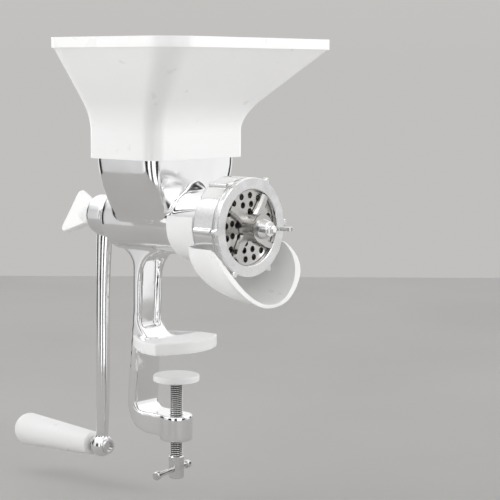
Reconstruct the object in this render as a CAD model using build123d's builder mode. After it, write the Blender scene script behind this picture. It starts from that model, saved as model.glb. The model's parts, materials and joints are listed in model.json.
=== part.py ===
from build123d import *
from math import cos, radians, sin
import os

os.makedirs("parts", exist_ok=True)

# Frame: +X runs out of the barrel, +Z is up, and the casting is symmetric about Y = 0.
# The origin is on the clamp screw's axis, at the underside of the upper jaw pad. Millimetres.

# ---- driving dimensions -------------------------------------------------------------------
barrel_z = 97.5          # height of the barrel's axis
barrel_r = 25.0          # outside of the barrel
bore_r = 21.0            # inside of the barrel
barrel_back = -60.0      # rear face of the barrel
wall = 6.0               # rear wall of the barrel
boss_back = -66.0        # rear face of the bearing boss
boss_r = 15.0
bush_r = 11.5            # outside of the rear bush
housing_r = 32.5         # male thread of the front housing
housing_front = 72.0
flare_back, flare_front = 43.5, 50.8
plate_r = 29.5           # perforated plate
plate_back = 67.2
plate_front = 72.0
seat_r = 27.5             # opening behind the plate
nut_back = 52.4          # ring nut
nut_front = 75.9
nut_r = 36.1
nut_hole_r = 27.6
fit_gap = 0.05           # running fit, radial
air = 0.3                # clearance between parts that only come near each other

throat_low_x, throat_high_x = -41.5, 20.0
throat_half_y = 46.0
throat_corner = 9.0       # rounding of the throat's upright edges
throat_top = barrel_z + 70
collar_bottom = 145.0
collar_top = 176.0
rim_bottom = 225.5
rim_top = 233.0
rim_low_x, rim_high_x = -50.0, 84.5
rim_half_y = 91.0

column_half = 13.0       # half width of the column
arm_half = 10.6          # half width of the lower arm where it meets the boss
jaw_metal_low, jaw_metal_high = 2.6, 7.4
boss_low, boss_high = -70.0, -50.0
clamp_boss_r = 12.5
screw_r = 5.0            # M10 clamp screw
screw_pitch = 1.5

ball_x = -83.0           # centre of the ball at the crank's foot
ball_z = -87.5
ball_r = 9.0
handle_length = 88.0
bolt_r = 3.0             # bolt that carries the handle
bolt_head_r = 5.6
bolt_seat_x = ball_x + 5.6

plate_sets = ((23.2, 16, 62.0), (17.0, 12, 78.0), (11.6, 8, 80.0))   # radius, holes, first angle
plate_hole_r = 2.35
key_r = 1.5               # pin that stops the plate turning


def barrel_plane(x):
    """A plane across the barrel at x: local x is +Y, local y is +Z, normal +X."""
    return Plane(origin=(x, 0, barrel_z), x_dir=(0, 1, 0), z_dir=(1, 0, 0))


# ---- body casting ---------------------------------------------------------------------------
with BuildPart() as body_casting:
    # barrel, rear boss and the front housing that carries the ring nut's thread
    with BuildSketch(Plane.XZ.shift_origin((0, 0, barrel_z))):
        with BuildLine():
            Polyline(
                (boss_back, 0), (boss_back, boss_r - 1.5), (boss_back + 1.5, boss_r), (barrel_back, boss_r)
            )
            Line((barrel_back, boss_r), (barrel_back, barrel_r - 7))
            RadiusArc((barrel_back, barrel_r - 7), (barrel_back + 7, barrel_r), 7)
            Line((barrel_back + 7, barrel_r), (flare_back, barrel_r))
            RadiusArc((flare_back, barrel_r), (flare_front, housing_r), -7.6)
            Line((flare_front, housing_r), (housing_front, housing_r))
            Polyline((housing_front, housing_r), (housing_front, 0), (boss_back, 0))
        make_face()
    revolve(axis=Axis((0, 0, barrel_z), (1, 0, 0)))
    # throat, widening upwards from the barrel
    for height, low_x, high_x, half_y, corner in (
        (barrel_z - 2, throat_low_x - 1, throat_high_x - 10, 23.5, 9),
        (barrel_z + 10, throat_low_x - 1, throat_high_x - 3.5, 32.0, 9),
        (barrel_z + 27, throat_low_x, throat_high_x - 0.5, 41.5, throat_corner),
        (barrel_z + 46, throat_low_x, throat_high_x, throat_half_y, throat_corner),
    ):
        with BuildSketch(Plane(((low_x + high_x) / 2, 0, height))):
            RectangleRounded(high_x - low_x, 2 * half_y, corner)
    loft()
    with BuildSketch(Plane.XY.offset(barrel_z + 46)):
        with Locations(((throat_low_x + throat_high_x) / 2, 0)):
            RectangleRounded(throat_high_x - throat_low_x, 2 * throat_half_y, throat_corner)
    extrude(amount=throat_top - barrel_z - 46)
    # rim that the hopper's collar stands on
    with BuildSketch(Plane.XY.offset(throat_top - 9)):
        with Locations(((throat_low_x + throat_high_x) / 2, 0)):
            RectangleRounded(throat_high_x - throat_low_x + 4, 2 * throat_half_y + 4, throat_corner + 2)
    extrude(amount=9)
    # saddle in front of the throat, on top of the barrel
    for rows in (
        ((-24, 24.8, 24.9), (4, 27.0, 28.5), (16.5, 25.6, 30.5)),
        ((12, 17.0, 31.0), (20, 16.0, 30.0), (26, 14.0, 27.0), (34, 11.0, 24.7)),
    ):
        for x, half, height in rows:
            with BuildSketch(barrel_plane(x)):
                Ellipse(half, height)
                with Locations((0, -50)):
                    Rectangle(100, 100, mode=Mode.SUBTRACT)
        loft()
    # column and lower arm of the C frame
    with BuildSketch(Plane.XZ):
        with BuildLine():
            Polyline((-26.5, barrel_z - 18), (-27.2, 40), (-28.6, 10), (-32, -43.5))
            RadiusArc((-32, -43.5), (-25.5, -50), -6.5)
            Polyline((-25.5, -50), (0, -50), (0, -66.5), (-18, -66.5))
            RadiusArc((-18, -66.5), (-40.5, -44), 22.5)
            Polyline((-40.5, -44), (-34.2, 25), (-33.2, barrel_z - 18), (-26.5, barrel_z - 18))
        make_face()
    extrude(amount=column_half, both=True)
    # foot of the column spreads into the barrel
    with BuildSketch(Plane.XZ):
        with BuildLine():
            Polyline((-44, barrel_z - 20), (-8, barrel_z - 20), (-8, barrel_z - 24))
            RadiusArc((-8, barrel_z - 24), (-26.6, barrel_z - 44), -21)
            Line((-26.6, barrel_z - 44), (-33.2, barrel_z - 44))
            RadiusArc((-33.2, barrel_z - 44), (-44, barrel_z - 24), -17)
            Line((-44, barrel_z - 24), (-44, barrel_z - 20))
        make_face()
    extrude(amount=column_half, both=True)
    # root of the upper jaw
    with BuildSketch(Plane.XZ):
        with BuildLine():
            Polyline((-33, jaw_metal_low), (-12, jaw_metal_low), (-12, jaw_metal_high))
            Line((-12, jaw_metal_high), (-16, jaw_metal_high))
            RadiusArc((-16, jaw_metal_high), (-28.2, jaw_metal_high + 16), 18)
            Line((-28.2, jaw_metal_high + 16), (-33, jaw_metal_high + 16))
            Line((-33, jaw_metal_high + 16), (-33, jaw_metal_low))
        make_face()
    extrude(amount=column_half, both=True)
    # upper jaw, a fan-shaped plate
    with BuildSketch(Plane.XY.offset(jaw_metal_low)):
        with BuildLine():
            jaw_edge = Polyline((-31, -11), (-17, -21.8), (-3, -29.8), (9, -30.2))
            bow = ThreePointArc(jaw_edge @ 1, (20.4, 0), (9, 30.2))
            Polyline(bow @ 1, (-3, 29.8), (-17, 21.8), (-31, 11), (-31, -11))
        make_face()
    extrude(amount=jaw_metal_high - jaw_metal_low)
    # the lower arm narrows towards the boss
    with BuildSketch(Plane.XY.offset(boss_high)):
        with BuildLine():
            Polyline(
                (-33, column_half), (0, arm_half), (10, arm_half), (10, column_half + 5),
                (-33, column_half + 5), close=True,
            )
        make_face()
        mirror(about=Plane.XZ)
    extrude(amount=boss_low - boss_high - 1, mode=Mode.SUBTRACT)
    # clamp boss at the end of the lower arm
    with BuildSketch(Plane.XY.offset(boss_low)):
        Circle(clamp_boss_r)
    extrude(amount=boss_high - boss_low)
    # rib behind the column
    with BuildSketch(Plane.XZ):
        with BuildLine():
            Polyline((-33, 60), (-43, 30), (-47, -30), (-40, -42), (-36, 0), (-33, 60))
        make_face()
    extrude(amount=3.5, both=True)
    # channel down the front of the column
    with BuildSketch(Plane.XZ):
        with BuildLine():
            Polyline(
                (-28.8, barrel_z - 30), (-31.2, 14), (-20, 14), (-20, barrel_z - 30), close=True,
            )
        make_face()
    extrude(amount=column_half - 4.5, both=True, mode=Mode.SUBTRACT)
    # hollow of the throat and the barrel
    for height, low_x, high_x, half_y, corner in (
        (barrel_z - 6, throat_low_x + 6, throat_high_x - 12, 14, 8),
        (barrel_z + 24, throat_low_x + 4.5, throat_high_x - 5, 34, 9),
        (throat_top + 1, throat_low_x + 4, throat_high_x - 4, throat_half_y - 4, throat_corner - 4),
    ):
        with BuildSketch(Plane(((low_x + high_x) / 2, 0, height))):
            RectangleRounded(high_x - low_x, 2 * half_y, corner)
    loft(mode=Mode.SUBTRACT)
    with BuildSketch(Plane.XZ.shift_origin((0, 0, barrel_z))):
        with BuildLine():
            Polyline(
                (barrel_back + wall, 0), (barrel_back + wall, bore_r), (flare_back, bore_r), (54, seat_r),
                (plate_back, seat_r), (plate_back, plate_r + fit_gap),
                (housing_front + 1, plate_r + fit_gap),
                (housing_front + 1, 0), close=True,
            )
        make_face()
    revolve(axis=Axis((0, 0, barrel_z), (1, 0, 0)), mode=Mode.SUBTRACT)
    # seat of the rear bush
    with BuildSketch(barrel_plane(boss_back - 1)):
        Circle(bush_r)
    extrude(amount=barrel_back + wall - boss_back + 2, mode=Mode.SUBTRACT)
    # threaded hole of the clamp screw
    with BuildSketch(Plane.XY.offset(boss_low - 1)):
        Circle(screw_r + fit_gap)
    extrude(amount=boss_high - boss_low + 2, mode=Mode.SUBTRACT)
    # groove of the plate's key pin
    with BuildSketch(barrel_plane(plate_back)):
        with Locations((0, -plate_r)):
            Circle(key_r)
    extrude(amount=housing_front - plate_back + 1, mode=Mode.SUBTRACT)
body_casting.part.label = "body_casting"
export_step(body_casting.part, "parts/body_casting.step")

# ---- hopper: a flared tray on a collar that slips over the throat's rim -----------------------
collar_low_x, collar_high_x = throat_low_x - 4.6, throat_high_x + 6.0
collar_half_y = throat_half_y + 4.6
collar_corner = 12.0
hopper_wall = 2.4
waist_blend = 12.0       # half height of the rounding between collar and slope
waist_steps = [collar_top + waist_blend * step / 2 for step in (-2, -1, 0, 1, 2)]


def funnel(height, inset):
    """The hopper's wall at a height, moved in by inset: low x, high x, half y, corner radius."""
    rise = height - collar_top
    if rise <= -waist_blend:
        grown = 0.0
    elif rise < waist_blend:
        grown = (rise + waist_blend) ** 2 / (4 * waist_blend)
    else:
        grown = rise
    share = grown / (rim_bottom - collar_top)
    low_x = collar_low_x + (rim_low_x + 1.8 - collar_low_x) * share
    high_x = collar_high_x + (rim_high_x - 1.8 - collar_high_x) * share
    half_y = collar_half_y + (rim_half_y - 1.8 - collar_half_y) * share
    return low_x + inset, high_x - inset, half_y - inset, collar_corner + 9 * share - inset


def funnel_inside(height):
    """The inner face at a height: moved in on the steep stretches and raised on the flat ones."""
    return height, funnel(height - 0.75 * hopper_wall, 0.67 * hopper_wall)


with BuildPart() as hopper:
    with BuildSketch(Plane(((collar_low_x + collar_high_x) / 2, 0, collar_bottom))):
        RectangleRounded(collar_high_x - collar_low_x, 2 * collar_half_y, collar_corner)
    extrude(amount=waist_steps[0] - collar_bottom)
    for stretch in (waist_steps, (waist_steps[-1], rim_bottom)):
        for height in stretch:
            low_x, high_x, half_y, corner = funnel(height, 0)
            with BuildSketch(Plane(((low_x + high_x) / 2, 0, height))):
                RectangleRounded(high_x - low_x, 2 * half_y, corner)
        loft()
    with BuildSketch(Plane(((rim_low_x + rim_high_x) / 2, 0, rim_bottom))):
        RectangleRounded(rim_high_x - rim_low_x, 2 * rim_half_y, 23)
    extrude(amount=rim_top - rim_bottom)
    # inside: sloped floor, funnel and rim
    floor_mouth = (throat_low_x + 4.5, throat_high_x - 4.5, throat_half_y - 4.5, 9)
    floor_edge, waist_middle, waist_end, funnel_end = [
        funnel_inside(height)
        for height in (waist_steps[2] + 3, waist_steps[3] + 2, waist_steps[4] + 2, rim_bottom + 2.5)
    ]
    for stretch in (
        ((throat_top + 3, floor_mouth), floor_edge),
        (floor_edge, waist_middle, waist_end),
        (waist_end, funnel_end),
    ):
        for height, (low_x, high_x, half_y, corner) in stretch:
            with BuildSketch(Plane(((low_x + high_x) / 2, 0, height))):
                RectangleRounded(high_x - low_x, 2 * half_y, corner)
        loft(mode=Mode.SUBTRACT)
    with BuildSketch(Plane(((rim_low_x + rim_high_x) / 2, 0, rim_bottom + 2.5))):
        RectangleRounded(rim_high_x - rim_low_x - 5, 2 * rim_half_y - 5, 20.5)
    extrude(amount=rim_top - rim_bottom, mode=Mode.SUBTRACT)
    # socket for the throat's rim, and the mouth of the floor
    with BuildSketch(Plane(((throat_low_x + throat_high_x) / 2, 0, collar_bottom - 1))):
        RectangleRounded(
            throat_high_x - throat_low_x + 4.6, 2 * throat_half_y + 4.6, throat_corner + 2.3
        )
    extrude(amount=throat_top + 0.05 - collar_bottom + 1, mode=Mode.SUBTRACT)
    with BuildSketch(Plane(((throat_low_x + throat_high_x) / 2, 0, throat_top - 1))):
        RectangleRounded(throat_high_x - throat_low_x - 9, 2 * throat_half_y - 9, 9)
    extrude(amount=5, mode=Mode.SUBTRACT)
hopper.part.label = "hopper"
export_step(hopper.part, "parts/hopper.step")

# ---- chute: a collar that snaps around the barrel, with a scoop below the outlet --------------
chute_wall = 2.4
chute_inner_r = barrel_r + air
chute_rim_z = 84.0
scoop_ribs = (      # x, outer half width at the rim, height of the lowest line
    (37, 23.0, 69.4), (43, 31.2, 60.5), (50, 38.2, 53.4),
    (60, 40.9, 47.6), (76, 41.4, 43.4), (99, 37.5, 40.2),
)
with BuildPart() as chute:
    for x, half, low_z in scoop_ribs:
        with BuildSketch(Plane(origin=(x, 0, chute_rim_z), x_dir=(0, 1, 0), z_dir=(1, 0, 0))):
            Ellipse(half, chute_rim_z - low_z)
            with Locations((0, 50)):
                Rectangle(200, 100, mode=Mode.SUBTRACT)
    loft()
    with BuildSketch(barrel_plane(17)):
        Circle(chute_inner_r + chute_wall + 0.3)
        with Locations((0, 6.8 + 30)):
            Rectangle(100, 60, mode=Mode.SUBTRACT)
    extrude(amount=26)
    for x, half, low_z in scoop_ribs[1:]:
        with BuildSketch(Plane(origin=(x + 0.01, 0, chute_rim_z + 0.5), x_dir=(0, 1, 0), z_dir=(1, 0, 0))):
            Ellipse(half - chute_wall, chute_rim_z + 0.5 - low_z - chute_wall)
            with Locations((0, 50)):
                Rectangle(200, 100, mode=Mode.SUBTRACT)
    loft(mode=Mode.SUBTRACT)
    with BuildSketch(barrel_plane(10)):
        Circle(chute_inner_r)
    extrude(amount=40, mode=Mode.SUBTRACT)
    # the lip falls away towards the tip
    with BuildSketch(Plane.XZ):
        with BuildLine():
            Spline((66, 85), (78, 80), (88.5, 66), (94, 52), (96, 44), (95, 38), tangents=((1, 0), (-1, -4)))
            Polyline((95, 38), (110, 38), (110, 92), (66, 92), (66, 85))
        make_face()
    extrude(amount=60, both=True, mode=Mode.SUBTRACT)
chute.part.label = "chute"
export_step(chute.part, "parts/chute.step")

# ---- ring nut: knurled by six ribs, with a flange that clamps the plate -------------------------
nut_inner_r = housing_r + 0.1
rib_count = 6
rib_angle = 2             # of the first rib, in degrees from +Y
rib_end = 70.0            # a groove runs from here to the flange
flange_back = 72.45
with BuildPart() as ring_nut:
    with BuildSketch(barrel_plane(nut_back)):
        Circle(nut_r)
        Circle(nut_inner_r, mode=Mode.SUBTRACT)
    extrude(amount=rib_end - nut_back)
    with BuildSketch(barrel_plane(nut_back + 1.2)):
        with PolarLocations(nut_r, rib_count, start_angle=rib_angle):
            Circle(2.4)
        Circle(nut_r - 1, mode=Mode.SUBTRACT)
    extrude(amount=rib_end - nut_back - 1.2)
    with BuildSketch(barrel_plane(rib_end)):
        Circle(nut_r - 1.6)
        Circle(nut_inner_r, mode=Mode.SUBTRACT)
    extrude(amount=flange_back - rib_end)
    with BuildSketch(barrel_plane(flange_back)):
        Circle(nut_r)
        with PolarLocations(nut_r + 0.9, rib_count, start_angle=rib_angle):
            Circle(2.5)
        Circle(nut_hole_r, mode=Mode.SUBTRACT)
    extrude(amount=nut_front - flange_back)
    chamfer(ring_nut.faces().sort_by(Axis.X)[-1].edges(), 0.5)
ring_nut.part.label = "ring_nut"
export_step(ring_nut.part, "parts/ring_nut.step")

# ---- perforated plate with its centre bush and key pin ----------------------------------------
plate_bush_r = 7.0
journal_r = 5.0
with BuildPart() as hole_plate:
    with BuildSketch(barrel_plane(plate_back)):
        Circle(plate_r)
        Circle(plate_bush_r, mode=Mode.SUBTRACT)
        for ring_r, count, first in plate_sets:
            with PolarLocations(ring_r, count, start_angle=first):
                Circle(plate_hole_r, mode=Mode.SUBTRACT)
        with Locations((0, -plate_r)):
            Circle(key_r + 0.1, mode=Mode.SUBTRACT)
    extrude(amount=plate_front - plate_back)
hole_plate.part.label = "hole_plate"
export_step(hole_plate.part, "parts/hole_plate.step")

with BuildPart() as plate_bush:
    with BuildSketch(barrel_plane(plate_back - 0.4)):
        Circle(plate_bush_r)
        Circle(journal_r + fit_gap, mode=Mode.SUBTRACT)
    extrude(amount=plate_front - plate_back + 0.8)
plate_bush.part.label = "plate_bush"
export_step(plate_bush.part, "parts/plate_bush.step")

with BuildPart() as plate_key_pin:
    with BuildSketch(barrel_plane(plate_back)):
        with Locations((0, -plate_r)):
            Circle(key_r)
    extrude(amount=plate_front - plate_back - 0.3)
plate_key_pin.part.label = "plate_key_pin"
export_step(plate_key_pin.part, "parts/plate_key_pin.step")

# ---- feed screw and its shaft -------------------------------------------------------------------
core_r = 11.0
flight_r = 20.4
shaft_r = 9.0
drive_square = 11.0
drive_back = -83.0       # rear end of the square
thumb_stud_r = 3.95      # M8 stud of the thumb screw
stud_r = 3.0
stud_end = 97.8
flight_pitch = 27.0
screw_back = barrel_back + wall + 2.0     # seats on the thrust washer
screw_front = 63.5
hub_front = 84.6
with BuildPart() as auger:
    with BuildSketch(Plane.XZ.shift_origin((0, 0, barrel_z))):
        with BuildLine():
            Polyline(
                (boss_back - 0.3, 0), (boss_back - 0.3, shaft_r), (screw_back, shaft_r), (screw_back, core_r),
                (screw_front, core_r), (screw_front, journal_r),
                (plate_front + 0.5, journal_r), (plate_front + 0.5, stud_r), (stud_end - 0.8, stud_r),
                (stud_end, stud_r - 0.8), (stud_end, 0), close=True,
            )
        make_face()
    revolve(axis=Axis((0, 0, barrel_z), (1, 0, 0)))
    with BuildLine():
        flight_foot = Vector(screw_back + 4, 0, barrel_z)
        flight_line = Helix(
            flight_pitch, screw_front - screw_back - 8, core_r, center=flight_foot, direction=(1, 0, 0)
        )
    flight_plane = Plane(origin=flight_line @ 0, x_dir=flight_line @ 0 - flight_foot, z_dir=flight_line % 0)
    with BuildSketch(flight_plane):
        with Locations(((flight_r - core_r - 2) / 2, 0)):
            Rectangle(flight_r - core_r + 2, 3.4)
    sweep(is_frenet=True)
    with BuildSketch(barrel_plane(plate_front + 0.5)):
        Rectangle(6.9, 6.9)
    extrude(amount=hub_front - plate_front - 1)
    with BuildSketch(barrel_plane(drive_back)):
        Rectangle(drive_square, drive_square)
    extrude(amount=boss_back - 0.3 - drive_back)
    with BuildSketch(barrel_plane(drive_back - 1)):
        Circle(thumb_stud_r + fit_gap)
    extrude(amount=23, mode=Mode.SUBTRACT)
auger.part.label = "auger"
export_step(auger.part, "parts/auger.step")


def plain_ring(back, length, outer_r, inner_r):
    """A ring about the barrel's axis, from x = back."""
    with BuildPart() as ring:
        with BuildSketch(barrel_plane(back)):
            Circle(outer_r)
            Circle(inner_r, mode=Mode.SUBTRACT)
        extrude(amount=length)
    return ring.part


with BuildPart() as rear_bush:
    add(plain_ring(boss_back, barrel_back + wall - boss_back, bush_r, shaft_r + fit_gap))
rear_bush.part.label = "rear_bush"
export_step(rear_bush.part, "parts/rear_bush.step")

with BuildPart() as thrust_washer:
    add(plain_ring(barrel_back + wall + 0.1, 1.9, 17, shaft_r + 0.02))
thrust_washer.part.label = "thrust_washer"
export_step(thrust_washer.part, "parts/thrust_washer.step")

with BuildPart() as crank_washer:
    add(plain_ring(boss_back - 0.9, 0.8, 13.5, shaft_r + 0.1))
crank_washer.part.label = "crank_washer"
export_step(crank_washer.part, "parts/crank_washer.step")

# ---- knife in front of the plate, with its washer and wing nut ----------------------------------
knife_back = plate_front + 0.55
knife_hub_r = 10.0
with BuildPart() as knife_blade:
    with BuildSketch(barrel_plane(knife_back)):
        with BuildLine():
            leading = RadiusArc((6, 4.5), (26.4, 5.6), -46)
            tip = RadiusArc(leading @ 1, (26.9, 0.6), 27)
            trailing = RadiusArc(tip @ 1, (6, -3.5), 40)
            Line(trailing @ 1, leading @ 0)
        make_face()
    extrude(amount=3.6)
    front_edges = knife_blade.faces().sort_by(Axis.X)[-1].edges()
    chamfer(front_edges.filter_by(GeomType.CIRCLE).sort_by(Axis.Z)[-1:], 1.6)

with BuildPart() as knife:
    for turn in (50, 140, 230, 320):
        add(knife_blade.part.rotate(Axis((0, 0, barrel_z), (1, 0, 0)), turn))
    with BuildSketch(barrel_plane(knife_back)):
        Circle(knife_hub_r)
    extrude(amount=hub_front - knife_back)
    chamfer(knife.faces().sort_by(Axis.X)[-1].edges(), 0.6)
    with BuildSketch(barrel_plane(knife_back - 1)):
        Rectangle(7.0, 7.0)
    extrude(amount=20, mode=Mode.SUBTRACT)
knife.part.label = "knife"
export_step(knife.part, "parts/knife.step")

with BuildPart() as knife_washer:
    add(plain_ring(hub_front + 0.05, 2.0, 10.4, stud_r + 0.08))
knife_washer.part.label = "knife_washer"
export_step(knife_washer.part, "parts/knife_washer.step")

wing_nut_back = hub_front + 2.1
with BuildPart() as front_wing_nut:
    with BuildSketch(Plane.XZ.shift_origin((0, 0, barrel_z))):
        with BuildLine():
            Polyline(
                (wing_nut_back, 0), (wing_nut_back, 7.4), (wing_nut_back + 1.2, 7.4),
                (wing_nut_back + 6.4, 5.6), (wing_nut_back + 7, 5.0), (wing_nut_back + 7, 0), close=True,
            )
        make_face()
    revolve(axis=Axis((0, 0, barrel_z), (1, 0, 0)))
    with BuildSketch(Plane.XY.offset(barrel_z)):
        with BuildLine():
            Polyline((wing_nut_back + 0.8, 3.5), (wing_nut_back + 0.8, 6.8), (wing_nut_back + 14, 13.6))
            RadiusArc((wing_nut_back + 14, 13.6), (wing_nut_back + 16.8, 8.8), 2.8)
            Polyline((wing_nut_back + 16.8, 8.8), (wing_nut_back + 6.0, 4.2), (wing_nut_back + 6.0, 3.5))
            Line((wing_nut_back + 6.0, 3.5), (wing_nut_back + 0.8, 3.5))
        make_face()
        mirror(about=Plane.XZ)
    extrude(amount=1.3, both=True)
    with BuildSketch(barrel_plane(wing_nut_back - 1)):
        Circle(stud_r + fit_gap)
    extrude(amount=9, mode=Mode.SUBTRACT)
front_wing_nut.part.label = "front_wing_nut"
export_step(front_wing_nut.part, "parts/front_wing_nut.step")

# ---- crank arm ------------------------------------------------------------------------------------
eye_r = 15.5
eye_back, eye_front = -84.0, -67.0
with BuildPart() as crank_arm:
    with BuildSketch(barrel_plane(eye_back)):
        Circle(eye_r)
    extrude(amount=eye_front - eye_back)
    fillet(crank_arm.edges().filter_by(GeomType.CIRCLE), 2.0)
    for height, x, radius in (
        (barrel_z - 8, -77.0, 7.0), (barrel_z - 24, -78.5, 6.3), (10, -80.8, 5.5), (ball_z + 4, ball_x, 4.8),
    ):
        with BuildSketch(Plane((x, 0, height))):
            Circle(radius)
    loft()
    with BuildSketch(Plane.XZ.shift_origin((ball_x, 0, ball_z))):
        with BuildLine():
            CenterArc((0, 0), ball_r, -90, 180)
            Line((0, ball_r), (0, -ball_r))
        make_face()
    revolve(axis=Axis((ball_x, 0, ball_z), (0, 0, 1)))
    with BuildSketch(barrel_plane(eye_back - 1)):
        Rectangle(drive_square + 0.1, drive_square + 0.1)
    extrude(amount=eye_front - eye_back + 2, mode=Mode.SUBTRACT)
    # seats of the handle's bolt
    with BuildSketch(Plane(origin=(ball_x - ball_r - 1, 0, ball_z), x_dir=(0, 1, 0), z_dir=(1, 0, 0))):
        Circle(bolt_r + fit_gap)
    extrude(amount=2 * ball_r + 2, mode=Mode.SUBTRACT)
    with BuildSketch(Plane(origin=(bolt_seat_x, 0, ball_z), x_dir=(0, 1, 0), z_dir=(1, 0, 0))):
        Circle(bolt_head_r + fit_gap)
    extrude(amount=6, mode=Mode.SUBTRACT)
    with BuildSketch(Plane(origin=(ball_x - 7.6, 0, ball_z), x_dir=(0, 1, 0), z_dir=(-1, 0, 0))):
        Circle(6.2)
    extrude(amount=6, mode=Mode.SUBTRACT)
crank_arm.part.label = "crank_arm"
export_step(crank_arm.part, "parts/crank_arm.step")

# ---- handle, its bolt and washer --------------------------------------------------------------------
handle_front = ball_x - 9.4
handle_end = handle_front - handle_length
bolt_end = handle_end + 35
with BuildPart() as crank_handle:
    with BuildSketch(Plane.XZ.shift_origin((0, 0, ball_z))):
        with BuildLine():
            Polyline((handle_front, 0), (handle_front, 8.2), (handle_front - 1.2, 9.4))
            Line((handle_front - 1.2, 9.4), (handle_end + 10, 13.2))
            RadiusArc((handle_end + 10, 13.2), (handle_end, 3.2), -10)
            Polyline((handle_end, 3.2), (handle_end, 0), (handle_front, 0))
        make_face()
    revolve(axis=Axis((0, 0, ball_z), (1, 0, 0)))
    bolt_hole = Plane(origin=(handle_front + 1, 0, ball_z), x_dir=(0, 1, 0), z_dir=(-1, 0, 0))
    with BuildSketch(bolt_hole):
        Circle(bolt_r + fit_gap)
    extrude(amount=handle_length - 16, mode=Mode.SUBTRACT)
    # chamber for the nut at the bolt's end
    with BuildSketch(bolt_hole.offset(handle_length - 39)):
        Circle(5.3)
    extrude(amount=26, mode=Mode.SUBTRACT)
crank_handle.part.label = "crank_handle"
export_step(crank_handle.part, "parts/crank_handle.step")

with BuildPart() as handle_bolt:
    with BuildSketch(Plane.XZ.shift_origin((0, 0, ball_z))):
        with BuildLine():
            Polyline((bolt_seat_x, 0), (bolt_seat_x, bolt_r), (bolt_end, bolt_r), (bolt_end, 0), close=True)
        make_face()
    revolve(axis=Axis((0, 0, ball_z), (1, 0, 0)))
    # head, with a round recess in its end
    head_plane = Plane(origin=(bolt_seat_x, 0, ball_z), x_dir=(0, 1, 0), z_dir=(1, 0, 0))
    with BuildSketch(head_plane):
        Circle(bolt_head_r)
    extrude(amount=3.0)
    with BuildSketch(head_plane.offset(1.2)):
        Circle(bolt_head_r - 1.7)
    extrude(amount=3.0, mode=Mode.SUBTRACT)
handle_bolt.part.label = "handle_bolt"
export_step(handle_bolt.part, "parts/handle_bolt.step")

with BuildPart() as handle_lock_nut:
    with BuildSketch(Plane(origin=(bolt_end, 0, ball_z), x_dir=(0, 1, 0), z_dir=(1, 0, 0))):
        RegularPolygon(5.0, 6)
        Circle(bolt_r + 0.02, mode=Mode.SUBTRACT)
    extrude(amount=4.8)
handle_lock_nut.part.label = "handle_lock_nut"
export_step(handle_lock_nut.part, "parts/handle_lock_nut.step")

with BuildPart() as handle_washer:
    with BuildSketch(Plane(origin=(ball_x - 7.6, 0, ball_z), x_dir=(0, 1, 0), z_dir=(-1, 0, 0))):
        Circle(6.1)
        Circle(bolt_r + 0.02, mode=Mode.SUBTRACT)
    extrude(amount=1.6)
handle_washer.part.label = "handle_washer"
export_step(handle_washer.part, "parts/handle_washer.step")

# ---- rear thumb screw ----------------------------------------------------------------------
thumb_front = eye_back - 1.8
wing_angle = 56
with BuildPart() as thumb_washer:
    add(plain_ring(thumb_front + 0.05, 1.7, 9.0, 4.1))
thumb_washer.part.label = "thumb_washer"
export_step(thumb_washer.part, "parts/thumb_washer.step")

with BuildPart() as thumb_screw_stud:
    with BuildSketch(barrel_plane(thumb_front - 8)):
        Circle(thumb_stud_r)
    extrude(amount=29)
thumb_screw_stud.part.label = "thumb_screw_stud"
export_step(thumb_screw_stud.part, "parts/thumb_screw_stud.step")

with BuildPart() as thumb_screw_wing:
    with BuildSketch(Plane.XZ.shift_origin((0, 0, barrel_z))):
        with BuildLine():
            Polyline(
                (thumb_front, 0), (thumb_front, 10.6), (thumb_front - 3, 11.2), (thumb_front - 10, 9.0),
                (thumb_front - 17, 5.0), (thumb_front - 17, 0), close=True,
            )
        make_face()
    revolve(axis=Axis((0, 0, barrel_z), (1, 0, 0)))
    wing_plane = Plane(
        origin=(0, 0, barrel_z), x_dir=(1, 0, 0),
        z_dir=(0, -sin(radians(wing_angle)), cos(radians(wing_angle))),
    )
    with BuildSketch(wing_plane):
        with BuildLine():
            Polyline((thumb_front - 4, 8.5), (thumb_front - 25, 18.6))
            RadiusArc((thumb_front - 25, 18.6), (thumb_front - 31, 14.0), -4.6)
            Polyline((thumb_front - 31, 14.0), (thumb_front - 31, 0), (thumb_front - 4, 0))
            Line((thumb_front - 4, 0), (thumb_front - 4, 8.5))
        make_face()
        mirror(about=Plane.XZ)
    extrude(amount=2.6, both=True)
    with BuildSketch(barrel_plane(thumb_front - 8)):
        Circle(thumb_stud_r + 0.02)
    extrude(amount=10, mode=Mode.SUBTRACT)
thumb_screw_wing.part.label = "thumb_screw_wing"
export_step(thumb_screw_wing.part, "parts/thumb_screw_wing.step")

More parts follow.
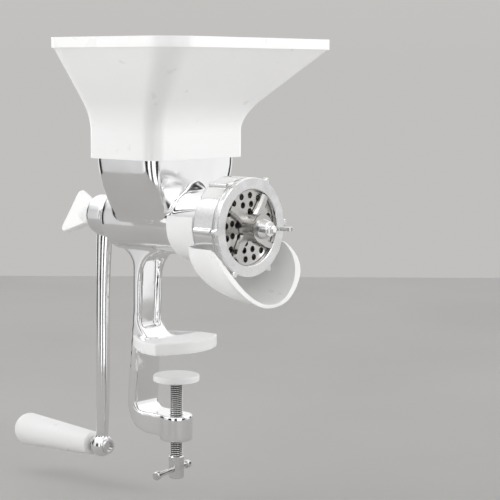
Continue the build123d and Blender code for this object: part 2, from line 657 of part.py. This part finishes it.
# ---- plastic cover slipped on the upper jaw ----------------------------------------------
with BuildPart() as upper_jaw_pad:
    with BuildSketch(Plane.XY):
        with BuildLine():
            pad_edge = Polyline((-33.5, -13), (-18, -24.6), (-3.5, -32.8), (11, -33.2))
            pad_bow = ThreePointArc(pad_edge @ 1, (23.4, 0), (11, 33.2))
            Polyline(pad_bow @ 1, (-3.5, 32.8), (-18, 24.6), (-33.5, 13), (-33.5, -13))
        make_face()
    extrude(amount=9.2)
    fillet(upper_jaw_pad.faces().sort_by(Axis.Z)[-1].edges(), 1.0)
    # pocket for the metal jaw, open to the rear
    with BuildSketch(Plane.XY.offset(jaw_metal_low - 0.05)):
        with BuildLine():
            pocket_edge = Polyline((-36, -7.5), (-31, -11.2), (-17, -22), (-3, -30), (9.1, -30.4))
            pocket_bow = ThreePointArc(pocket_edge @ 1, (20.6, 0), (9.1, 30.4))
            Polyline(pocket_bow @ 1, (-3, 30), (-17, 22), (-31, 11.2), (-36, 7.5), (-36, -7.5))
        make_face()
    extrude(amount=jaw_metal_high - jaw_metal_low + 0.1, mode=Mode.SUBTRACT)
    # window over the root of the jaw
    with BuildSketch(Plane.XY.offset(jaw_metal_high - 1)):
        with BuildLine():
            window_edge = Polyline((-36, -7.5), (-31, -11.2), (-17, -22), (-6, -28.2))
            Polyline(window_edge @ 1, (-6, 28.2), (-17, 22), (-31, 11.2), (-36, 7.5), (-36, -7.5))
        make_face()
    extrude(amount=5, mode=Mode.SUBTRACT)
    with BuildSketch(Plane.XY.offset(-1)):
        with Locations((-31, 0)):
            Rectangle(12, 2 * column_half + 0.4)
    extrude(amount=12, mode=Mode.SUBTRACT)
upper_jaw_pad.part.label = "upper_jaw_pad"
export_step(upper_jaw_pad.part, "parts/upper_jaw_pad.step")

# ---- clamp screw, swivel disc, pad and tommy bar ------------------------------------------
pad_top, pad_low = -19.2, -24.4
pad_r = 17.6
neck_r = 3.4
head_top, head_low = -82.0, -99.5
bar_z = -92.2
bar_r = 2.0
bar_angle = 102.5
bar_plane = Plane(
    origin=(0, 0, bar_z), x_dir=(0, 0, 1), z_dir=(cos(radians(bar_angle)), sin(radians(bar_angle)), 0)
)
with BuildPart() as clamp_screw:
    with BuildSketch(Plane.XZ):
        with BuildLine():
            Polyline(
                (0, head_low), (5.0, head_low), (5.8, head_low + 0.8), (5.8, head_top - 0.8),
                (screw_r, head_top), (screw_r, pad_low - 2.0), (screw_r - 1, pad_low - 1.0),
                (neck_r, pad_low - 1.0),
                (neck_r, pad_low + 2.8), (0, pad_low + 2.8), close=True,
            )
        make_face()
    revolve(axis=Axis.Z)
    with BuildSketch(bar_plane.offset(-10)):
        Circle(bar_r + fit_gap)
    extrude(amount=20, mode=Mode.SUBTRACT)
clamp_screw.part.label = "clamp_screw"
export_step(clamp_screw.part, "parts/clamp_screw.step")

with BuildPart() as clamp_swivel:
    with BuildSketch(Plane.XY.offset(pad_low - 0.9)):
        Circle(10.5)
        Circle(neck_r + fit_gap, mode=Mode.SUBTRACT)
    extrude(amount=2.4)
clamp_swivel.part.label = "clamp_swivel"
export_step(clamp_swivel.part, "parts/clamp_swivel.step")

with BuildPart() as clamp_pad:
    with BuildSketch(Plane.XY.offset(pad_low)):
        Circle(pad_r)
    extrude(amount=pad_top - pad_low)
    fillet(clamp_pad.faces().sort_by(Axis.Z)[-1].edges(), 1.6)
    fillet(clamp_pad.faces().sort_by(Axis.Z)[0].edges(), 1.0)
    with BuildSketch(Plane.XY.offset(pad_low - 1)):
        Circle(10.5)
    extrude(amount=2.5, mode=Mode.SUBTRACT)
    with BuildSketch(Plane.XY.offset(pad_low)):
        Circle(neck_r + 1)
    extrude(amount=3.2, mode=Mode.SUBTRACT)
clamp_pad.part.label = "clamp_pad"
export_step(clamp_pad.part, "parts/clamp_pad.step")

bar_low, bar_high = -29.5, 17.5
with BuildPart() as tommy_bar:
    with BuildSketch(bar_plane.offset(bar_low + 1)):
        Circle(bar_r)
    extrude(amount=bar_high - bar_low - 2)
tommy_bar.part.label = "tommy_bar"
export_step(tommy_bar.part, "parts/tommy_bar.step")

with BuildPart() as tommy_bar_caps:
    for end in (bar_low, bar_high - 4.5):
        with BuildSketch(bar_plane.offset(end)):
            Circle(3.2)
        extrude(amount=4.5)
    fillet(tommy_bar_caps.edges(), 1.0)
    with BuildSketch(bar_plane.offset(bar_low + 1)):
        Circle(bar_r)
    extrude(amount=bar_high - bar_low - 2, mode=Mode.SUBTRACT)
tommy_bar_caps.part.label = "tommy_bar_caps"
export_step(tommy_bar_caps.part, "parts/tommy_bar_caps.step")
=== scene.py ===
import json
from math import cos, pi, radians, sin, tau

import bmesh
import bpy
from mathutils import Matrix, Vector


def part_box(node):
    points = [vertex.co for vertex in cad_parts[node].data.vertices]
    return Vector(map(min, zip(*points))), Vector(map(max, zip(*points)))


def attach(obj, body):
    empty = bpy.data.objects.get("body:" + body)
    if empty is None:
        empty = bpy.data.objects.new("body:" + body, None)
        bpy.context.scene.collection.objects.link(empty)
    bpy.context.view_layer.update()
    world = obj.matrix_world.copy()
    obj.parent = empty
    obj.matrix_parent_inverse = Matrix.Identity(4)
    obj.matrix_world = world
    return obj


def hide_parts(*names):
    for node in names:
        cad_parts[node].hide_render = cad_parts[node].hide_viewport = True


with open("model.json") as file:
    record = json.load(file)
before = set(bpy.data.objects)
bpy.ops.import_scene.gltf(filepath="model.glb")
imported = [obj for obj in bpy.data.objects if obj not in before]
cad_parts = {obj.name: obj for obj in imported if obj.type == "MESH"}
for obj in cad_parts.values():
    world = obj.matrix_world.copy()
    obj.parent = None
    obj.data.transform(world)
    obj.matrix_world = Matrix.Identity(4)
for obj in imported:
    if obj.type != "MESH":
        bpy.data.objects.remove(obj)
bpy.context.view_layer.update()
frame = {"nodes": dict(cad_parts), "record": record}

MM = 0.001

# ---- the clamp screw, whose box is read from the frame --------------------------------------------
screw_low, screw_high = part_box("clamp_screw")
SCREW_HEAD_TOP = -82.0 * MM
SCREW_PLAIN_END = 4.6 * MM       # turned down to run in the pad's swivel
THREAD_RADIUS = 5.0 * MM
THREAD_PITCH = 1.5 * MM
THREAD_DEPTH = 0.6               # share of the pitch
CLAMP_TRAVEL = 22.5 * MM         # how far the screw goes down, which the floor leaves room for


# ---- material helpers -----------------------------------------------------------------------------
class Shader:
    """A small wrapper that adds nodes to one material and wires them by name."""

    def __init__(self, name, colour, metallic, roughness):
        self.material = bpy.data.materials.new(name)
        self.material.use_nodes = True
        self.nodes = self.material.node_tree.nodes
        self.links = self.material.node_tree.links
        self.principled = self.nodes["Principled BSDF"]
        self.principled.inputs["Base Color"].default_value = (*colour, 1)
        self.principled.inputs["Metallic"].default_value = metallic
        self.principled.inputs["Roughness"].default_value = roughness
        self.position = self.nodes.new("ShaderNodeTexCoord").outputs["Object"]

    def noise(self, scale, detail=4, stretch=None):
        """Noise over the object's own position; stretch squeezes it along an axis."""
        source = self.position
        if stretch:
            mapping = self.nodes.new("ShaderNodeMapping")
            mapping.inputs["Scale"].default_value = stretch
            self.links.new(source, mapping.inputs["Vector"])
            source = mapping.outputs["Vector"]
        texture = self.nodes.new("ShaderNodeTexNoise")
        texture.inputs["Scale"].default_value = scale
        texture.inputs["Detail"].default_value = detail
        self.links.new(source, texture.inputs["Vector"])
        return texture.outputs["Fac"]

    def ramp(self, factor, low, high, low_value, high_value):
        """Maps a 0 to 1 factor between two positions onto two grey values or colours."""
        node = self.nodes.new("ShaderNodeValToRGB")
        for stop, place, value in zip(node.color_ramp.elements, (low, high), (low_value, high_value)):
            stop.position = place
            stop.color = (*value, 1) if isinstance(value, tuple) else (value, value, value, 1)
        self.links.new(factor, node.inputs["Fac"])
        return node.outputs["Color"]

    def mix(self, factor, first, second):
        """first where the factor is 0, second where it is 1."""
        node = self.nodes.new("ShaderNodeMix")
        node.data_type = "RGBA"
        self.links.new(factor, node.inputs[0])
        self.links.new(first, node.inputs[6])
        self.links.new(second, node.inputs[7])
        return node.outputs[2]

    def faces_along_barrel(self):
        """1 on faces square to the barrel's axis, 0 on its sides."""
        normal = self.nodes.new("ShaderNodeTexCoord").outputs["Normal"]
        split = self.nodes.new("ShaderNodeSeparateXYZ")
        self.links.new(normal, split.inputs["Vector"])
        size = self.nodes.new("ShaderNodeMath")
        size.operation = "ABSOLUTE"
        self.links.new(split.outputs["X"], size.inputs[0])
        return self.ramp(size.outputs["Value"], 0.75, 0.9, 0.0, 1.0)

    def colour(self, factor):
        """Wires a colour into the base colour."""
        self.links.new(factor, self.principled.inputs["Base Color"])

    def roughness(self, factor):
        """Wires a grey value into the roughness."""
        self.links.new(factor, self.principled.inputs["Roughness"])

    def bump(self, *layers, edge=0.0):
        """Stacks bump layers of (height, strength, distance in metres), over rounded edges."""
        normal = None
        if edge:
            bevel = self.nodes.new("ShaderNodeBevel")
            bevel.samples = 6
            bevel.inputs["Radius"].default_value = edge
            normal = bevel.outputs["Normal"]
        for height, strength, distance in layers:
            node = self.nodes.new("ShaderNodeBump")
            node.inputs["Strength"].default_value = strength
            node.inputs["Distance"].default_value = distance
            self.links.new(height, node.inputs["Height"])
            if normal:
                self.links.new(normal, node.inputs["Normal"])
            normal = node.outputs["Normal"]
        self.links.new(normal, self.principled.inputs["Normal"])


def polished_casting():
    """Buffed die casting: near-mirror, with slow waviness, faint buffing lines and a duller haze."""
    shader = Shader("polished_casting", (0.9, 0.9, 0.905), 1.0, 0.12)
    haze = shader.noise(45, 5)
    shader.roughness(shader.ramp(haze, 0.35, 0.7, 0.07, 0.17))
    shader.colour(shader.ramp(shader.noise(30, 3), 0.3, 0.7, (0.87, 0.87, 0.875), (0.93, 0.93, 0.93)))
    lines = shader.noise(900, 2, (1, 1, 0.06))
    shader.bump((shader.noise(38, 1), 0.25, 0.0011), (lines, 0.05, 0.0001), edge=0.0007)
    return shader.material


def satin_casting():
    """Fine blasted and turned aluminium of the ring nut's flange."""
    shader = Shader("satin_casting", (0.87, 0.87, 0.87), 1.0, 0.34)
    satin = shader.ramp(shader.noise(160, 5), 0.3, 0.7, 0.3, 0.44)
    polish = shader.ramp(shader.noise(60, 4), 0.3, 0.7, 0.09, 0.17)
    shader.roughness(shader.mix(shader.faces_along_barrel(), polish, satin))
    shader.colour(shader.ramp(shader.noise(700, 2), 0.3, 0.7, (0.84, 0.84, 0.84), (0.92, 0.92, 0.915)))
    shader.bump((shader.noise(2600, 2), 0.16, 0.0001), edge=0.0005)
    return shader.material


def white_plastic():
    """Semi-gloss moulded plastic, faintly uneven, with hair-fine scuffs."""
    shader = Shader("white_plastic", (0.92, 0.92, 0.915), 0.0, 0.3)
    shader.principled.inputs["Subsurface Weight"].default_value = 0.12
    shader.principled.inputs["Subsurface Radius"].default_value = (0.004, 0.004, 0.0035)
    shader.principled.inputs["Subsurface Scale"].default_value = 1.0
    shader.principled.inputs["Coat Weight"].default_value = 0.15
    shader.principled.inputs["Coat Roughness"].default_value = 0.2
    shader.roughness(shader.ramp(shader.noise(70, 5), 0.3, 0.8, 0.27, 0.36))
    shader.colour(shader.ramp(shader.noise(14, 2), 0.25, 0.75, (0.9, 0.9, 0.893), (0.93, 0.93, 0.925)))
    shader.bump((shader.noise(16, 1), 0.05, 0.0012))
    return shader.material


def ground_steel():
    """Ground steel of plate, knife and washers, with grinding lines and a warmer tarnish."""
    shader = Shader("ground_steel", (0.6, 0.59, 0.57), 1.0, 0.28)
    shader.roughness(shader.ramp(shader.noise(120, 5), 0.3, 0.7, 0.2, 0.38))
    shader.colour(shader.ramp(shader.noise(60, 4), 0.3, 0.72, (0.52, 0.51, 0.49), (0.68, 0.67, 0.655)))
    lines = shader.noise(1500, 2, (1, 0.08, 1))
    shader.bump((lines, 0.1, 0.00012))
    return shader.material


def bright_zinc():
    """Bright zinc plate on screws and bars."""
    shader = Shader("bright_zinc", (0.74, 0.74, 0.73), 1.0, 0.18)
    shader.roughness(shader.ramp(shader.noise(150, 4), 0.3, 0.7, 0.12, 0.27))
    shader.colour(shader.ramp(shader.noise(90, 3), 0.3, 0.7, (0.68, 0.68, 0.67), (0.8, 0.8, 0.8)))
    shader.bump((shader.noise(400, 3), 0.1, 0.0002))
    return shader.material


def screw_thread():
    """Zinc-plated thread about the Z axis: bright crests, painted shade in the roots."""
    shader = Shader("screw_thread", (0.74, 0.74, 0.73), 1.0, 0.22)
    split = shader.nodes.new("ShaderNodeSeparateXYZ")
    shader.links.new(shader.position, split.inputs["Vector"])
    flat = shader.nodes.new("ShaderNodeCombineXYZ")
    shader.links.new(split.outputs["X"], flat.inputs["X"])
    shader.links.new(split.outputs["Y"], flat.inputs["Y"])
    radius = shader.nodes.new("ShaderNodeVectorMath")
    radius.operation = "LENGTH"
    shader.links.new(flat.outputs["Vector"], radius.inputs[0])
    share = shader.nodes.new("ShaderNodeMapRange")
    share.inputs["From Min"].default_value = 0.0042
    share.inputs["From Max"].default_value = 0.0050
    shader.links.new(radius.outputs["Value"], share.inputs["Value"])
    # colour by radius: the thread roots painted near black as painted shade, the crests a light zinc
    shader.colour(shader.ramp(share.outputs["Result"], 0.1, 0.8, (0.09, 0.088, 0.085), (0.84, 0.84, 0.83)))
    shader.roughness(shader.ramp(share.outputs["Result"], 0.1, 0.8, 0.5, 0.18))
    shader.bump((shader.noise(900, 3), 0.1, 0.0001))
    return shader.material


def bearing_bronze():
    """Turned bronze of the bushes."""
    shader = Shader("bearing_bronze", (0.6, 0.42, 0.2), 1.0, 0.3)
    shader.roughness(shader.ramp(shader.noise(200, 4), 0.3, 0.7, 0.24, 0.4))
    shader.colour(shader.ramp(shader.noise(80, 3), 0.3, 0.7, (0.52, 0.36, 0.17), (0.66, 0.47, 0.24)))
    shader.bump((shader.noise(1200, 2), 0.1, 0.0001), edge=0.0003)
    return shader.material


MATERIALS = {
    "cast_aluminium": polished_casting(),
    "satin_aluminium": satin_casting(),
    "white_plastic": white_plastic(),
    "steel": ground_steel(),
    "zinc_steel": bright_zinc(),
    "bronze": bearing_bronze(),
}
SLOT_OF = {part["node"]: part["material_slot"] for part in frame["record"]["subparts"]}


def dress_cad_nodes():
    """Gives every CAD node the material of its slot."""
    for name, thing in frame["nodes"].items():
        for slot in thing.material_slots:
            slot.material = MATERIALS[SLOT_OF[name]]


dress_cad_nodes()


# ---- pieces that stand in for CAD nodes ---------------------------------------------------------
def cad_mesh(node):
    """A copy of a CAD node's mesh as a new object."""
    source = frame["nodes"][node]
    thing = bpy.data.objects.new(node + "_look", source.data.copy())
    bpy.context.collection.objects.link(thing)
    return thing


def apply_modifiers(thing):
    """Replaces the object's mesh by its modified one."""
    seen = thing.evaluated_get(bpy.context.evaluated_depsgraph_get())
    mesh = bpy.data.meshes.new_from_object(seen)
    thing.modifiers.clear()
    thing.data = mesh


def weld(thing, distance=0.00002):
    """Joins vertices that lie on one another."""
    work = bmesh.new()
    work.from_mesh(thing.data)
    bmesh.ops.remove_doubles(work, verts=work.verts, dist=distance)
    work.to_mesh(thing.data)
    work.free()


def as_cast(node, body, voxel, passes):
    """The CAD node with every edge and corner blended, as a casting or moulding leaves its pattern."""
    thing = cad_mesh(node)
    weld(thing)
    remesh = thing.modifiers.new("remesh", "REMESH")
    remesh.mode = "VOXEL"
    remesh.voxel_size = voxel
    smooth = thing.modifiers.new("smooth", "SMOOTH")
    smooth.factor = 0.5
    smooth.iterations = passes
    apply_modifiers(thing)
    for face in thing.data.polygons:
        face.use_smooth = True
    thing.data.materials.clear()
    thing.data.materials.append(MATERIALS[SLOT_OF[node]])
    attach(thing, body)
    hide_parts(node)


def thread_shape(phase):
    """Depth of a rounded 60 degree thread, 0 on the crest and 1 in the root."""
    return 0.5 - 0.5 * max(-1.0, min(1.0, 1.35 * cos(tau * phase)))


def threaded_rod(name, low, high, radius, pitch):
    """A rod about the Z axis with a right-hand thread, closed at both ends."""
    around, per_turn = 40, 10    # points around the rod, and rings to each turn of the thread
    steps = round((high - low) / pitch * per_turn)
    depth = THREAD_DEPTH * pitch
    verts = []
    for k in range(steps + 1):
        z = low + (high - low) * k / steps
        run_out = min(1.0, (high - z) / pitch)
        for j in range(around):
            turn = tau * j / around
            r = radius - depth * thread_shape((z / pitch - j / around) % 1.0) - (1 - run_out) * 0.4 * depth
            verts.append((r * cos(turn), r * sin(turn), z))
    faces = [tuple(reversed(range(around))), tuple(range(steps * around, (steps + 1) * around))]
    for k in range(steps):
        for j in range(around):
            a, b = k * around + j, k * around + (j + 1) % around
            faces.append((a, b, b + around, a + around))
    mesh = bpy.data.meshes.new(name)
    mesh.from_pydata(verts, [], faces)
    for face in mesh.polygons:
        face.use_smooth = len(face.vertices) == 4
    thing = bpy.data.objects.new(name, mesh)
    bpy.context.collection.objects.link(thing)
    return thing


def make_clamp_screw():
    """The clamp screw with its real thread; the head with its cross hole comes from the CAD."""
    head = cad_mesh("clamp_screw")
    work = bmesh.new()
    work.from_mesh(head.data)
    above = [v for v in work.verts if v.co.z > SCREW_HEAD_TOP + 0.1 * MM]
    bmesh.ops.delete(work, geom=above, context="VERTS")
    work.to_mesh(head.data)
    work.free()
    rod_low, rod_high = SCREW_HEAD_TOP - 0.5 * MM, screw_high[2] - SCREW_PLAIN_END
    rod = threaded_rod("clamp_screw_thread", rod_low, rod_high, THREAD_RADIUS, THREAD_PITCH)
    rod.data.materials.append(screw_thread())
    for slot in head.material_slots:
        slot.material = MATERIALS["zinc_steel"]
    for thing in (head, rod):
        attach(thing, "clamp_screw")
        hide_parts("clamp_screw")


as_cast("body_casting", "casting", 0.9 * MM, 14)
as_cast("crank_arm", "drive", 0.7 * MM, 10)
as_cast("upper_jaw_pad", "casting", 0.7 * MM, 6)
as_cast("thumb_screw_wing", "thumb_screw", 0.6 * MM, 8)
make_clamp_screw()


# ---- floor, surround, lights and camera ----------------------------------------------------------
CAMERA_AZIMUTH = radians(41.69)
CAMERA_PITCH = radians(6.34)
CAMERA_ROLL = radians(0.255)
CAMERA_PLACE = Vector((0.8430, -0.8631, 0.2096))
CAMERA_LENS = 116.06
FLOOR_CORNERS = ((-0.42, -0.7), (-0.42, 0.7), (1.4, 0.9), (1.4, -0.9))   # metres behind and beside


def set_camera():
    """Puts the camera where the picture was taken from."""
    camera = bpy.data.cameras.new("camera")
    camera.sensor_width = 36
    camera.lens = CAMERA_LENS
    camera.clip_start = 0.05
    camera.dof.use_dof = False
    thing = bpy.data.objects.new("camera", camera)
    turn = Matrix.Rotation(CAMERA_AZIMUTH, 4, "Z") @ Matrix.Rotation(pi / 2 - CAMERA_PITCH, 4, "X")
    thing.matrix_world = Matrix.Translation(CAMERA_PLACE) @ turn @ Matrix.Rotation(CAMERA_ROLL, 4, "Z")
    bpy.context.collection.objects.link(thing)
    bpy.context.scene.camera = thing


def floor_material():
    """Matt pale paint with the faintest mottling."""
    shader = Shader("pale_floor", (0.6, 0.59, 0.58), 0.0, 0.6)
    shader.colour(shader.ramp(shader.noise(3, 4), 0.3, 0.7, (0.45, 0.44, 0.43), (0.49, 0.48, 0.47)))
    shader.bump((shader.noise(60, 3), 0.05, 0.001))
    return shader.material


def set_floor():
    """A pale floor that ends well behind the object, where the studio's wall begins."""
    floor_z = screw_low[2] - CLAMP_TRAVEL - 0.002
    away = Vector((-sin(CAMERA_AZIMUTH), cos(CAMERA_AZIMUTH), 0))
    across = Vector((away.y, -away.x, 0))
    verts = [away * along + across * side + Vector((0, 0, floor_z)) for along, side in FLOOR_CORNERS]
    mesh = bpy.data.meshes.new("floor")
    mesh.from_pydata(verts, [], [(0, 1, 2, 3)])
    mesh.materials.append(floor_material())
    thing = bpy.data.objects.new("floor", mesh)
    bpy.context.collection.objects.link(thing)


def area_light(name, place, target, size, size_y, power):
    """A white rectangular light at a place, turned to its target."""
    light = bpy.data.lights.new(name, "AREA")
    light.shape = "RECTANGLE"
    light.size = size
    light.size_y = size_y
    light.energy = power
    thing = bpy.data.objects.new(name, light)
    thing.location = place
    thing.rotation_euler = (Vector(target) - Vector(place)).to_track_quat("-Z", "Y").to_euler()
    bpy.context.collection.objects.link(thing)


# plain tones that the camera sees beyond the floor: low down, and above the horizon
GROUND_TONE = (0.43, 0.42, 0.41)
WALL_TONE = (0.455, 0.448, 0.44)
SURROUND_STRENGTH = 1.25

# compass heading in degrees and brightness of the panels around the object
STUDIO_BANDS = (
    (-178, 0.02), (-150, 0.02), (-144, 0.45), (-112, 0.9), (-106, 0.015), (-82, 0.015), (-76, 1.2),
    (-62, 1.2), (-57, 0.03), (-42, 0.03), (-37, 1.2), (-10, 1.2), (-4, 0.015), (18, 0.015),
    (26, 0.6), (56, 0.85), (62, 0.015), (82, 0.015), (90, 0.8), (172, 0.8),
)

# the same for light that falls on matt surfaces: large soft sources left and right of the front
SOFT_FILL = ((-150, 1.9), (-102, 1.9), (-86, 0.4), (-6, 0.4), (8, 1.9), (60, 1.9), (100, 1.0))


def set_lights():
    """Three soft boxes above, and a surround that differs for camera, matt and polished surfaces."""
    world = bpy.data.worlds.new("studio")
    world.use_nodes = True
    nodes, links = world.node_tree.nodes, world.node_tree.links
    background = nodes["Background"]
    direction = nodes.new("ShaderNodeTexCoord").outputs["Generated"]
    split = nodes.new("ShaderNodeSeparateXYZ")
    links.new(direction, split.inputs["Vector"])
    heading = nodes.new("ShaderNodeMath")
    heading.operation = "ARCTAN2"
    links.new(split.outputs["Y"], heading.inputs[0])
    links.new(split.outputs["X"], heading.inputs[1])
    share = nodes.new("ShaderNodeMapRange")
    share.inputs["From Min"].default_value = -pi
    share.inputs["From Max"].default_value = pi
    links.new(heading.outputs["Value"], share.inputs["Value"])

    def panels(table):
        """A ramp around the compass; the directions between the first and last rows meet at -180."""
        ramp = nodes.new("ShaderNodeValToRGB")
        stops = ramp.color_ramp.elements
        stops[0].position, stops[0].color = 0.0, (0.4, 0.4, 0.4, 1)
        stops[1].position, stops[1].color = 1.0, (0.4, 0.4, 0.4, 1)
        for heading_degrees, grey in table:
            stop = stops.new((heading_degrees + 180) / 360)
            stop.color = (grey, grey, grey, 1)
        links.new(share.outputs["Result"], ramp.inputs["Fac"])
        return ramp.outputs["Color"]

    light_path = nodes.new("ShaderNodeLightPath")
    around = nodes.new("ShaderNodeMix")
    around.data_type = "RGBA"
    links.new(light_path.outputs["Is Diffuse Ray"], around.inputs[0])
    links.new(panels(STUDIO_BANDS), around.inputs[6])
    links.new(panels(SOFT_FILL), around.inputs[7])
    height = nodes.new("ShaderNodeValToRGB")
    height.color_ramp.elements[0].position = 0.3
    height.color_ramp.elements[1].position = 0.6
    links.new(split.outputs["Z"], height.inputs["Fac"])
    sky = nodes.new("ShaderNodeMix")
    sky.data_type = "RGBA"
    overhead = nodes.new("ShaderNodeMix")
    overhead.data_type = "RGBA"
    overhead.inputs[6].default_value = (1.0, 1.0, 1.0, 1)
    overhead.inputs[7].default_value = (0.25, 0.25, 0.25, 1)
    links.new(light_path.outputs["Is Diffuse Ray"], overhead.inputs[0])
    links.new(overhead.outputs[2], sky.inputs[7])
    links.new(height.outputs["Color"], sky.inputs[0])
    links.new(around.outputs[2], sky.inputs[6])
    plain = nodes.new("ShaderNodeMix")
    plain.data_type = "RGBA"
    ground = nodes.new("ShaderNodeValToRGB")
    ground.color_ramp.elements[0].position = 0.0
    ground.color_ramp.elements[0].color = (*GROUND_TONE, 1)
    ground.color_ramp.elements[1].position = 0.12
    ground.color_ramp.elements[1].color = (*WALL_TONE, 1)
    links.new(split.outputs["Z"], ground.inputs["Fac"])
    links.new(ground.outputs["Color"], plain.inputs[7])
    links.new(light_path.outputs["Is Camera Ray"], plain.inputs[0])
    links.new(sky.outputs[2], plain.inputs[6])
    links.new(plain.outputs[2], background.inputs["Color"])
    background.inputs["Strength"].default_value = SURROUND_STRENGTH
    bpy.context.scene.world = world
    middle = (0, 0, 0.08)
    area_light("top_box", (-0.1, -0.2, 1.6), middle, 1.3, 1.3, 3)
    area_light("left_box", (-1.0, -0.9, 1.5), middle, 0.8, 0.8, 5)
    area_light("right_box", (1.3, -0.1, 1.4), middle, 0.6, 0.8, 3.5)


bpy.context.scene.view_settings.view_transform = "Standard"
set_camera()
set_floor()
set_lights()
